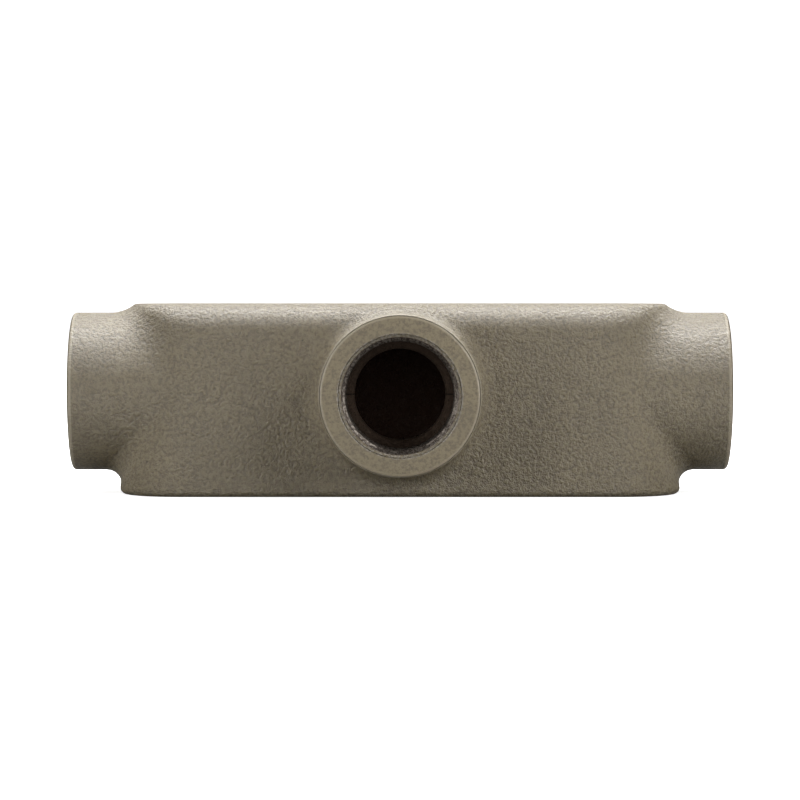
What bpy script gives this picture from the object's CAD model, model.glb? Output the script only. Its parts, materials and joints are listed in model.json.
"""Looks of the conduit body: painted rough casting, tapped pipe threads, studio light and camera.

Lengths are in metres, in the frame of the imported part: +X along the run hubs, -Y out of the
side hub, +Z up to the closed back, origin in the middle of the rim plane. A depth is measured
from a hub's face, down its bore.
"""

import json
import math

import bmesh
import bpy
from mathutils import Matrix, Vector


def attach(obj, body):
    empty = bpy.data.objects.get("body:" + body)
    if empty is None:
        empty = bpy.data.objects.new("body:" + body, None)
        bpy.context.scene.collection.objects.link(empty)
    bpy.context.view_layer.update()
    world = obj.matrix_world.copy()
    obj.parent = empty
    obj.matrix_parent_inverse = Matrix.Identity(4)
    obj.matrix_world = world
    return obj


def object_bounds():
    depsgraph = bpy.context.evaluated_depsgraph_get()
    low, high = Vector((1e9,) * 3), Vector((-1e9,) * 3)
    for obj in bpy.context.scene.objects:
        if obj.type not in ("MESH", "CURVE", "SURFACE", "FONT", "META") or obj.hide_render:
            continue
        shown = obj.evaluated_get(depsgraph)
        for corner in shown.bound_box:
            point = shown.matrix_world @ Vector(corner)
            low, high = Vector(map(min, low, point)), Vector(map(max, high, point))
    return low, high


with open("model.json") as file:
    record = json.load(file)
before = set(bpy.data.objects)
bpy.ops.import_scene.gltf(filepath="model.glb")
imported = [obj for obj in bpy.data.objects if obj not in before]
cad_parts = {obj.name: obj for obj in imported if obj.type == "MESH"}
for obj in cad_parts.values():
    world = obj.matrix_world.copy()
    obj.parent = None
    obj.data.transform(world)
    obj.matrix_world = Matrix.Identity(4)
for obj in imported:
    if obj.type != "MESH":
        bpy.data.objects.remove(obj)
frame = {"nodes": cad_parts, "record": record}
cad_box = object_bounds()

MM = 0.001
MOUNTS = {mount["name"]: mount for mount in frame["record"]["mounts"]}
LOW, HIGH = cad_box

# Sizes of the casting that the materials and threads follow
RUN_REACH = HIGH.x
SIDE_REACH = -LOW.y
AXIS_Z = MOUNTS["side_hub_thread"]["pos_m"][2]
THREAD_ROOT = MOUNTS["side_hub_thread"]["dims"]["r_mm"] * MM
THREAD_WALL = MOUNTS["side_hub_thread"]["dims"]["length_mm"] * MM
MOUTH_CHAMFER = 0.9 * MM
SHOULDER_DEPTH = THREAD_WALL + MOUTH_CHAMFER
BORE_RADIUS = THREAD_ROOT + 0.05 * MM
HUB_RADIUS = 18.5 * MM
RUN_HUB_DEPTH = 20 * MM
SIDE_HUB_DEPTH = 18 * MM

# The surface half way through the walls: half size at the rim, and degrees of lean
MID_END_WALL = (63.3 * MM, 7.4)
MID_SIDE_WALL = (19.4 * MM, 2.5)
MID_WALL_CORNER = 12.7 * MM
HALF_BACK = 2.1 * MM
PAINTED_RIM = 0.4 * MM

# Cast skin: size of the pattern and depth of its relief
SWELL_SIZE, SWELL_DEPTH = 14 * MM, 0.25 * MM
LUMP_SIZE, LUMP_DEPTH = 2.6 * MM, 0.35 * MM
GRAIN_SIZE, GRAIN_DEPTH = 0.75 * MM, 0.85 * MM
PIT_SPACING, PIT_DEPTH = 7.5 * MM, 0.2 * MM
PIT_PATCH_SIZE = 11 * MM
LARGEST_PIT = 0.085  # share of the spacing
PIT_FLOOR = 0.55  # share of the pit
FACED_FLATNESS = 0.85  # share of the grain and lumps that is missing on the faced hub ends
FINE_NOISE = {"detail": 3.0, "roughness": 0.7}

# Between which values of a pattern its effect sets in
NOISE_RANGE = (0.3, 0.7)
GRAIN_SHADOW = (0.36, 0.60)
PITTED_AREA = (0.47, 0.55)
CHIPPED_AREA = (0.46, 0.58)
BRIGHT_STREAK = (0.42, 0.62)

# Where the hubs are faced, stained, chipped and rubbed, and where the parting line runs
FACED_DEPTH = (0.35 * MM, 0.1 * MM)
MOUTH_BAND = (THREAD_ROOT + 1.15 * MM, THREAD_ROOT + 0.85 * MM)
MOUTH_DEPTH = 2 * MM
EDGE_BAND = (HUB_RADIUS - 1.1 * MM, HUB_RADIUS - 0.6 * MM)
EDGE_DEPTH = 1.0 * MM
CHIP_SIZE = 0.55 * MM
SEAM_BAND = (0.06 * MM, 0.22 * MM)

# Share of each colour that is laid over the paint
GRAIN_SHADOW_SHARE = 0.85
PIT_SHARE = 0.75
STAIN_SHARE = 0.12
CHIP_SHARE = 0.65
RUBBED_SHARE = 0.75
SEAM_SHARE = 0.8

# Colours, as linear red, green, blue and alpha
WHITE = (1, 1, 1, 1)
KHAKI_DEEP = (0.240, 0.188, 0.096, 1)
KHAKI_PALE = (0.272, 0.213, 0.110, 1)
KHAKI_SHADOW = (0.13, 0.098, 0.050, 1)
PIT_DIRT = (0.05, 0.04, 0.028, 1)
MOUTH_STAIN = (0.12, 0.095, 0.07, 1)
CHIPPED_METAL = (0.46, 0.41, 0.35, 1)
RUBBED_PAINT = (0.42, 0.35, 0.23, 1)
CHAMBER_IRON = (0.050, 0.026, 0.015, 1)
BORE_IRON = (0.105, 0.072, 0.050, 1)
SEAM_DARK = (0.004, 0.003, 0.002, 1)
THREAD_DARK = (0.055, 0.042, 0.032, 1)
THREAD_BRIGHT = (0.24, 0.21, 0.18, 1)
FLOOR_DEEP = (0.93, 0.93, 0.925, 1)
FLOOR_PALE = (0.95, 0.95, 0.945, 1)

# Gloss
PAINT_ROUGHNESS = (0.48, 0.36)
PAINT_IOR = 1.75
PAINT_SPECULAR, INSIDE_SPECULAR = 0.9, 0.08
THREAD_ROUGHNESS = (0.5, 0.3)
THREAD_METALLIC = 0.7
STREAK_SIZE, STREAK_DEPTH = 0.5 * MM, 0.04 * MM

# 3/4-inch taper pipe thread
PITCH = 25.4 * MM / 14
RIDGE_HEIGHT = 0.85 * MM
RIDGE_FLAT = 0.12  # share of half a turn, at the root and at the crest
CREST_TAPER = 1 / 64  # the crests close in as depth grows
RUN_OUT = 1.6 * MM  # over which the thread dies out at the shoulder
ROOT_GAP = 0.03 * MM
WALL_BITE = 0.02 * MM
END_GAP = 0.04 * MM
STEPS_ROUND = 180
STEPS_PER_PITCH = 14

# Floor and world
FLOOR_HALF = 4.0
FLOOR_Z = -0.05 * MM
FLOOR_PATTERN = 400 * MM
FLOOR_ROUGHNESS = 0.9
FLOOR_BOUNCE = (0.21, 0.21, 0.21, 1)
FLOOR_GLOW, FAR_FLOOR_GLOW = 0.85, 1.2
GLOW_REACH = (0.07, 0.3)
WORLD_LIGHT = 0.02
WORLD_SEEN = 1.3

# Area lights, all turned to the middle of the part: name, place, width, height and watts
LIGHTS = (
    ("overhead", (0, 0.5, 0.95), 1.6, 0.7, 26),
    ("behind_camera", (0, -1.5, 0.25), 1.2, 0.9, 2.65),
    ("upper_left", (-0.8, -0.5, 0.8), 0.6, 0.6, 2.8),
    ("upper_right", (0.8, -0.5, 0.8), 0.6, 0.6, 5.2),
    ("left_side", (-1.2, -0.6, 0.15), 0.8, 0.5, 6.8),
    ("right_side", (1.2, -0.6, 0.15), 0.8, 0.5, 6.2),
)

# Camera
CAMERA_DISTANCE = 0.8
CAMERA_RISE = math.radians(2.1)
TARGET_DROP = 2.1 * MM
VIEW_WIDTH = 1.2264 * (HIGH.x - LOW.x)
SENSOR_WIDTH = 36.0


# ---------------------------------------------------------------- nodes

class Nodes:
    """Short names for making and joining the nodes of a material or a world."""

    def __init__(self, owner, shader="Principled BSDF"):
        owner.use_nodes = True
        self.owner = owner
        self.tree = owner.node_tree
        self.shader = self.tree.nodes[shader]

    def node(self, kind, values=(), **settings):
        """A new node with these settings, and values on its inputs in their order."""
        made = self.tree.nodes.new(f"ShaderNode{kind}")
        for name, setting in settings.items():
            setattr(made, name, setting)
        for socket, value in zip(made.inputs, values):
            self.put(socket, value)
        return made

    def put(self, socket, value):
        """Join a socket to another one, or set its value."""
        if isinstance(value, bpy.types.NodeSocket):
            self.tree.links.new(value, socket)
        else:
            socket.default_value = value

    def fill(self, node, values):
        """Put values on a node's inputs by name."""
        for name, value in values.items():
            self.put(node.inputs[name], value)

    def math(self, operation, *values):
        return self.node("Math", values, operation=operation).outputs[0]

    def product(self, first, *others):
        for other in others:
            first = self.math("MULTIPLY", first, other)
        return first

    def length(self, a, b):
        """Length of a line that goes a one way and b square to it."""
        return self.math("SQRT", self.math("MULTIPLY_ADD", a, a, self.product(b, b)))

    def ramp(self, value, low, high, out_low=0.0, out_high=1.0):
        """A smooth step of value from low to high."""
        values = (value, low, high, out_low, out_high)
        return self.node("MapRange", values, interpolation_type="SMOOTHSTEP").outputs[0]

    def mix(self, share, a, b):
        """Colour a with a share of colour b."""
        node = self.node("Mix", data_type="RGBA")
        self.fill(node, {"Factor": share, "A": a, "B": b})
        return node.outputs["Result"]

    def place(self):
        """Where the point is, in the piece's own coordinates."""
        return self.node("TexCoord").outputs["Object"]

    def axes(self):
        return self.node("SeparateXYZ", [self.place()]).outputs

    def noise(self, size, detail=2.0, roughness=0.5):
        """Noise with lumps of about this size."""
        node = self.node("TexNoise")
        values = {"Scale": 1 / size, "Detail": detail, "Roughness": roughness}
        self.fill(node, {"Vector": self.place(), **values})
        return node.outputs[0]

    def point_distance(self, spacing):
        """Distance from the nearest of many scattered points, as a share of their spacing."""
        node = self.node("TexVoronoi")
        self.fill(node, {"Vector": self.place(), "Scale": 1 / spacing})
        return node.outputs["Distance"]

    def camera_ray(self):
        return self.node("LightPath").outputs["Is Camera Ray"]

    def bump(self, height, depth, below=None):
        """Relief over the relief below: height runs from 0 to 1 over this depth."""
        node = self.node("Bump")
        self.fill(node, {"Height": height, "Distance": depth})
        if below is not None:
            self.put(node.inputs["Normal"], below)
        return node.outputs[0]


class CastingNodes(Nodes):
    """Nodes that also know where on the casting a point lies."""

    def __init__(self, owner):
        super().__init__(owner)
        self.x, self.y, self.z = self.axes()
        self.over_axis = self.math("SUBTRACT", self.z, AXIS_Z)
        self.side_depth = self.math("ADD", self.y, SIDE_REACH)
        self.side_radius = self.length(self.x, self.over_axis)
        self.run_depth = self.math("SUBTRACT", RUN_REACH, self.math("ABSOLUTE", self.x))
        self.run_radius = self.length(self.y, self.over_axis)

    def hub_faces(self):
        """1 on the machined faces of the three hubs."""
        depths = (self.run_depth, self.side_depth)
        return self.math("MAXIMUM", *(self.ramp(depth, *FACED_DEPTH) for depth in depths))

    def hub_band(self, band, deepest):
        """Rises to 1 over a band of distances from a hub's axis, down to a depth."""
        masks = []
        for depth, radius in (
            (self.side_depth, self.side_radius),
            (self.run_depth, self.run_radius),
        ):
            near_face = self.math("LESS_THAN", depth, deepest)
            masks.append(self.product(self.ramp(radius, *band), near_face))
        return self.math("MAXIMUM", *masks)

    def in_hubs(self):
        """1 from the hubs' faces to where their bores meet the chamber."""
        in_run_hub = self.math("LESS_THAN", self.run_depth, RUN_HUB_DEPTH)
        in_side_hub = self.math("LESS_THAN", self.side_depth, SIDE_HUB_DEPTH)
        return self.math("MAXIMUM", in_run_hub, in_side_hub)

    def in_chamber(self):
        """1 on the walls of the chamber: inside the surface half way through them."""
        beyond = []
        for across, (half, lean) in ((self.x, MID_END_WALL), (self.y, MID_SIDE_WALL)):
            slope = -math.tan(math.radians(lean))
            straight = self.math("MULTIPLY_ADD", self.z, slope, half - MID_WALL_CORNER)
            past = self.math("SUBTRACT", self.math("ABSOLUTE", across), straight)
            past = self.math("MAXIMUM", past, 0.0)
            beyond.append(self.product(past, past))
        in_walls = self.math("LESS_THAN", self.math("ADD", *beyond), MID_WALL_CORNER ** 2)
        in_back = self.math("LESS_THAN", self.z, HIGH.z - HALF_BACK)
        off_rim = self.math("GREATER_THAN", self.z, PAINTED_RIM)
        return self.product(in_walls, in_back, off_rim)

    def inside(self):
        """1 in the chamber and the bores, 0 on the outside of the casting."""
        run_bore = self.math("LESS_THAN", self.run_radius, BORE_RADIUS)
        side_bore = self.math("LESS_THAN", self.side_radius, BORE_RADIUS)
        side_bore = self.product(side_bore, self.math("LESS_THAN", self.y, 0.0))
        bores = self.math("MAXIMUM", run_bore, side_bore)
        return self.math("MAXIMUM", self.in_chamber(), bores)


# ---------------------------------------------------------------- materials

def painted_casting():
    """Khaki-grey paint over sand-cast iron, smoother on the faced hub ends and bare inside."""
    nodes = CastingNodes(bpy.data.materials.new("painted_casting"))
    swell = nodes.noise(SWELL_SIZE, detail=1.0)
    lumps = nodes.noise(LUMP_SIZE)
    grain = nodes.noise(GRAIN_SIZE, **FINE_NOISE)
    pits = casting_pits(nodes, swell)
    inside = nodes.inside()

    paint = nodes.mix(nodes.ramp(swell, *NOISE_RANGE), KHAKI_DEEP, KHAKI_PALE)
    shadow = nodes.ramp(grain, *GRAIN_SHADOW, GRAIN_SHADOW_SHARE, 0.0)
    paint = nodes.mix(shadow, paint, KHAKI_SHADOW)
    paint = nodes.mix(nodes.product(pits, PIT_SHARE), paint, PIT_DIRT)
    paint = worn_mouths(nodes, paint)
    rubbed = nodes.product(nodes.hub_band(EDGE_BAND, EDGE_DEPTH), RUBBED_SHARE)
    paint = nodes.mix(rubbed, paint, RUBBED_PAINT)
    paint = bare_inside(nodes, paint, inside)

    rough = nodes.math("SUBTRACT", 1.0, nodes.product(nodes.hub_faces(), FACED_FLATNESS))
    relief = nodes.bump(swell, SWELL_DEPTH)
    relief = nodes.bump(nodes.product(lumps, rough), LUMP_DEPTH, relief)
    relief = nodes.bump(nodes.product(grain, rough), GRAIN_DEPTH, relief)
    relief = nodes.bump(nodes.product(pits, -1.0), PIT_DEPTH, relief)
    nodes.fill(nodes.shader, {
        "Base Color": paint,
        "Roughness": nodes.ramp(grain, *NOISE_RANGE, *PAINT_ROUGHNESS),
        "Specular IOR Level": nodes.ramp(inside, 0.0, 1.0, PAINT_SPECULAR, INSIDE_SPECULAR),
        "IOR": PAINT_IOR,
        "Normal": relief,
    })
    return nodes.owner


def casting_pits(nodes, swell):
    """1 in small scattered pits, which keep to patches of the casting."""
    size = nodes.product(nodes.noise(PIT_PATCH_SIZE), LARGEST_PIT)
    distance = nodes.point_distance(PIT_SPACING)
    pits = nodes.ramp(distance, nodes.product(size, PIT_FLOOR), size, 1.0, 0.0)
    return nodes.product(pits, nodes.ramp(swell, *PITTED_AREA))


def worn_mouths(nodes, paint):
    """The paint, stained and chipped to bright metal round the mouths of the hubs."""
    mouth = nodes.hub_band(MOUTH_BAND, MOUTH_DEPTH)
    chips = nodes.ramp(nodes.noise(CHIP_SIZE, **FINE_NOISE), *CHIPPED_AREA)
    paint = nodes.mix(nodes.product(mouth, STAIN_SHARE), paint, MOUTH_STAIN)
    return nodes.mix(nodes.product(chips, mouth, CHIP_SHARE), paint, CHIPPED_METAL)


def bare_inside(nodes, paint, inside):
    """The paint outside, bare iron inside, and a dark parting line along the hubs' bores."""
    in_hubs = nodes.in_hubs()
    bare = nodes.mix(in_hubs, CHAMBER_IRON, BORE_IRON)
    seam = nodes.ramp(nodes.math("ABSOLUTE", nodes.over_axis), *SEAM_BAND, 1.0, 0.0)
    seam = nodes.product(seam, inside, in_hubs, SEAM_SHARE)
    return nodes.mix(seam, nodes.mix(inside, paint, bare), SEAM_DARK)


def tapped_iron():
    """Dark cut iron of the threads, with bright rubbed streaks."""
    nodes = Nodes(bpy.data.materials.new("tapped_iron"))
    streaks = nodes.noise(STREAK_SIZE, **FINE_NOISE)
    nodes.fill(nodes.shader, {
        "Base Color": nodes.mix(nodes.ramp(streaks, *BRIGHT_STREAK), THREAD_DARK, THREAD_BRIGHT),
        "Metallic": THREAD_METALLIC,
        "Roughness": nodes.ramp(streaks, *NOISE_RANGE, *THREAD_ROUGHNESS),
        "Normal": nodes.bump(streaks, STREAK_DEPTH),
    })
    return nodes.owner


def pale_floor():
    """Pale to the camera and brighter further off, but dim as light on the casting."""
    nodes = Nodes(bpy.data.materials.new("pale_floor"))
    seen = nodes.camera_ray()
    tone = nodes.mix(nodes.noise(FLOOR_PATTERN), FLOOR_DEEP, FLOOR_PALE)
    x, y, _ = nodes.axes()
    glow = nodes.ramp(nodes.length(x, y), *GLOW_REACH, FLOOR_GLOW, FAR_FLOOR_GLOW)
    nodes.fill(nodes.shader, {
        "Base Color": nodes.mix(seen, FLOOR_BOUNCE, tone),
        "Roughness": FLOOR_ROUGHNESS,
        "Emission Color": WHITE,
        "Emission Strength": nodes.product(seen, glow),
    })
    return nodes.owner


# ---------------------------------------------------------------- threads

def ridge(turns):
    """Height of the 60-degree thread form, 0 at the root and 1 at the crest, both flattened."""
    saw = abs((turns % 1.0) * 2 - 1)
    return min(1.0, max(0.0, (saw - RIDGE_FLAT) / (1 - 2 * RIDGE_FLAT)))


def thread_radius(depth, turn):
    """Inner radius at a depth from the hub face, a share of a turn round the axis."""
    root = THREAD_ROOT - ROOT_GAP
    fade = min(1.0, max(0.0, (SHOULDER_DEPTH - depth) / RUN_OUT))
    height = RIDGE_HEIGHT + CREST_TAPER * depth
    radius = root - height * fade * ridge(depth / PITCH - turn)
    mouth_cone = THREAD_ROOT + MOUTH_CHAMFER - depth
    return min(max(radius, mouth_cone), root)


def add_loop(mesh, depth, radii):
    """Points once round the Z axis at a depth, one for each radius."""
    points = []
    for k, radius in enumerate(radii):
        angle = 2 * math.pi * k / STEPS_ROUND
        points.append(mesh.verts.new((radius * math.cos(angle), radius * math.sin(angle), -depth)))
    return points


def add_thread_ring(name, mount, material):
    """A closed ring against the bore wall, whose inner side is the helical thread."""
    steps = round(THREAD_WALL / PITCH * STEPS_PER_PITCH)
    ring_length = THREAD_WALL - 2 * END_GAP
    depths = [MOUTH_CHAMFER + END_GAP + ring_length * i / steps for i in range(steps + 1)]
    turns = [k / STEPS_ROUND for k in range(STEPS_ROUND)]
    mesh = bmesh.new()
    loops = []
    for depth in depths:
        loops.append(add_loop(mesh, depth, [thread_radius(depth, turn) for turn in turns]))
    for depth in (depths[-1], depths[0]):
        loops.append(add_loop(mesh, depth, [THREAD_ROOT + WALL_BITE] * STEPS_ROUND))
    for a, b in zip(loops, loops[1:] + loops[:1]):
        for k in range(STEPS_ROUND):
            n = (k + 1) % STEPS_ROUND
            mesh.faces.new((a[k], b[k], b[n], a[n]))
    bmesh.ops.recalc_face_normals(mesh, faces=mesh.faces)
    data = bpy.data.meshes.new(name)
    mesh.to_mesh(data)
    mesh.free()

    axis = Vector(mount["axis"])
    face = Vector(mount["pos_m"]) + axis * (THREAD_WALL / 2 + MOUTH_CHAMFER)
    facing = axis.to_track_quat("Z", "X").to_matrix().to_4x4()
    data.transform(Matrix.Translation(face) @ facing)
    data.shade_smooth()
    data.materials.append(material)
    piece = add_object(name, data)
    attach(piece, "root")


# ---------------------------------------------------------------- studio

def add_object(name, data):
    made = bpy.data.objects.new(name, data)
    bpy.context.scene.collection.objects.link(made)
    return made


def aim(thing, place, target):
    """Put a light or the camera in its place, turned to the target."""
    thing.location = place
    thing.rotation_euler = (Vector(target) - Vector(place)).to_track_quat("-Z", "Y").to_euler()


def add_light(name, place, width, height, power):
    lamp = bpy.data.lights.new(name, "AREA")
    lamp.shape = "RECTANGLE"
    lamp.size = width
    lamp.size_y = height
    lamp.energy = power
    aim(add_object(name, lamp), place, (0, 0, HIGH.z / 2))


def add_floor():
    """A wide flat floor, a hair below the rim."""
    mesh = bpy.data.meshes.new("floor")
    corners = ((-1, -1), (1, -1), (1, 1), (-1, 1))
    points = [(FLOOR_HALF * x, FLOOR_HALF * y, FLOOR_Z) for x, y in corners]
    mesh.from_pydata(points, [], [(0, 1, 2, 3)])
    mesh.materials.append(pale_floor())
    floor = add_object("floor", mesh)


def add_world():
    """White to the camera, and a faint even light on everything else."""
    world = bpy.data.worlds.new("studio")
    bpy.context.scene.world = world
    nodes = Nodes(world, "Background")
    strength = nodes.ramp(nodes.camera_ray(), 0.0, 1.0, WORLD_LIGHT, WORLD_SEEN)
    nodes.fill(nodes.shader, {"Color": WHITE, "Strength": strength})


def add_camera():
    """In front of the side hub and a little above it, as far off as a product camera."""
    target = Vector((0, 0, AXIS_Z - TARGET_DROP))
    back = Vector((0, -math.cos(CAMERA_RISE), math.sin(CAMERA_RISE)))
    lens = bpy.data.cameras.new("camera")
    lens.sensor_width = SENSOR_WIDTH
    lens.lens = SENSOR_WIDTH * CAMERA_DISTANCE / VIEW_WIDTH
    camera = add_object("camera", lens)
    aim(camera, target + back * CAMERA_DISTANCE, target)
    bpy.context.scene.camera = camera


# ---------------------------------------------------------------- scene

paint = painted_casting()
for place in frame["nodes"]["conduit_body"].material_slots:
    place.material = paint
iron = tapped_iron()
for hub in ("left", "right", "side"):
    add_thread_ring(f"{hub}_hub_thread_turns", MOUNTS[f"{hub}_hub_thread"], iron)

add_floor()
add_world()
for light in LIGHTS:
    add_light(*light)
add_camera()
bpy.context.scene.view_settings.view_transform = "Standard"
